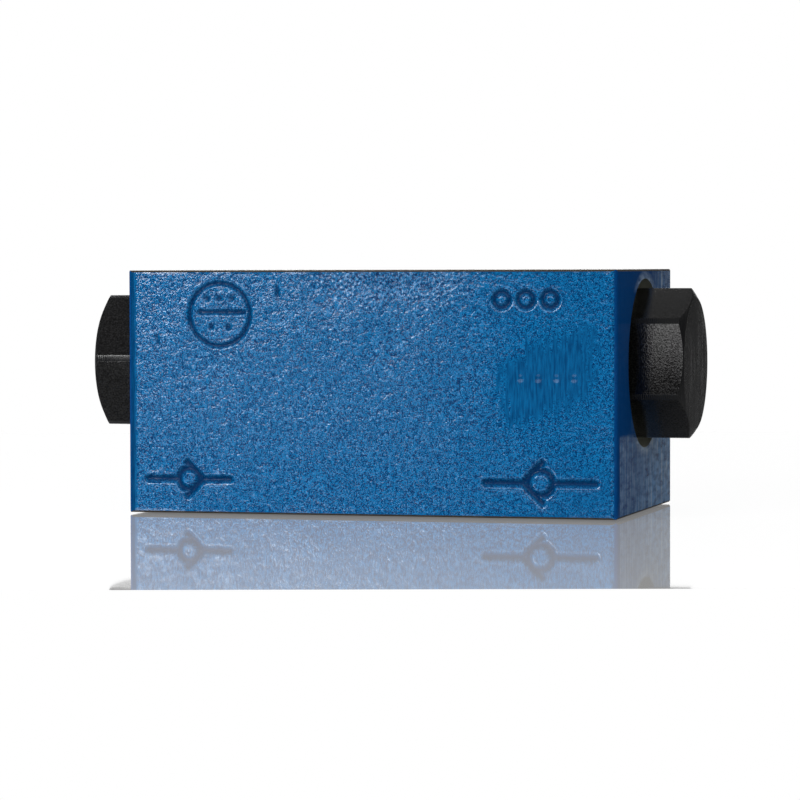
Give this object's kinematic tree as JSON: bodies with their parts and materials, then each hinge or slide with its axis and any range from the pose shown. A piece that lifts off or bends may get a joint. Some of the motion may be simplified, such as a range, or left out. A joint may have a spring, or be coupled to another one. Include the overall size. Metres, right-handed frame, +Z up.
{
  "type": "hydraulic sandwich valve",
  "caption": "Sandwich plate valve with pilot-operated check valves in ports A and B: a painted cast block with through ports, bolt holes and hexagon screw plugs.",
  "frame": {"origin": "centre of the base, midway between ports A and B", "axes": "+X along the valve bore towards the port B end, +Z up from the base to the top mounting face"},
  "size_m": [0.1014, 0.046, 0.04],
  "materials": {
    "paint": "blue paint on cast iron",
    "black_steel": "phosphated black",
    "hard_steel": "hardened and ground",
    "spring_steel": "drawn wire",
    "seal": "moulded"
  },
  "bodies": {
    "housing_body": {"housing": "paint", "left_plug": "black_steel", "left_plug_seal": "seal", "left_seat_sleeve": "hard_steel", "left_sleeve_seal": "seal", "left_spring": "spring_steel", "right_plug": "black_steel", "right_plug_seal": "seal", "right_seat_sleeve": "hard_steel", "right_sleeve_seal": "seal", "right_spring": "spring_steel", "p_port_seal": "seal", "a_port_seal": "seal", "b_port_seal": "seal", "t_port_seal": "seal"},
    "spool_body": {"control_spool": "hard_steel"},
    "left_poppet_body": {"left_poppet": "hard_steel"},
    "left_pilot_body": {"left_pilot_ball": "hard_steel", "left_spring_plate": "hard_steel"},
    "right_poppet_body": {"right_poppet": "hard_steel"},
    "right_pilot_body": {"right_pilot_ball": "hard_steel", "right_spring_plate": "hard_steel"}
  },
  "joints": [
    {"name": "spool_slide", "type": "slide", "parent": "housing_body", "child": "spool_body", "axis": [1, 0, 0], "range_m": [-0.00195, 0.00195]},
    {"name": "left_poppet_lift", "type": "slide", "parent": "housing_body", "child": "left_poppet_body", "axis": [-1, 0, 0], "range_m": [0, 0.00295], "stiffness_N_per_m": 1200, "springref_m": -0.0005, "deforming": ["left_spring"]},
    {"name": "left_pilot_lift", "type": "slide", "parent": "left_poppet_body", "child": "left_pilot_body", "axis": [-1, 0, 0], "range_m": [0, 0.0012], "stiffness_N_per_m": 600, "springref_m": -0.0005, "deforming": ["left_spring"]},
    {"name": "right_poppet_lift", "type": "slide", "parent": "housing_body", "child": "right_poppet_body", "axis": [1, 0, 0], "range_m": [0, 0.00295], "stiffness_N_per_m": 1200, "springref_m": -0.0005, "deforming": ["right_spring"]},
    {"name": "right_pilot_lift", "type": "slide", "parent": "right_poppet_body", "child": "right_pilot_body", "axis": [1, 0, 0], "range_m": [0, 0.0012], "stiffness_N_per_m": 600, "springref_m": -0.0005, "deforming": ["right_spring"]}
  ]
}
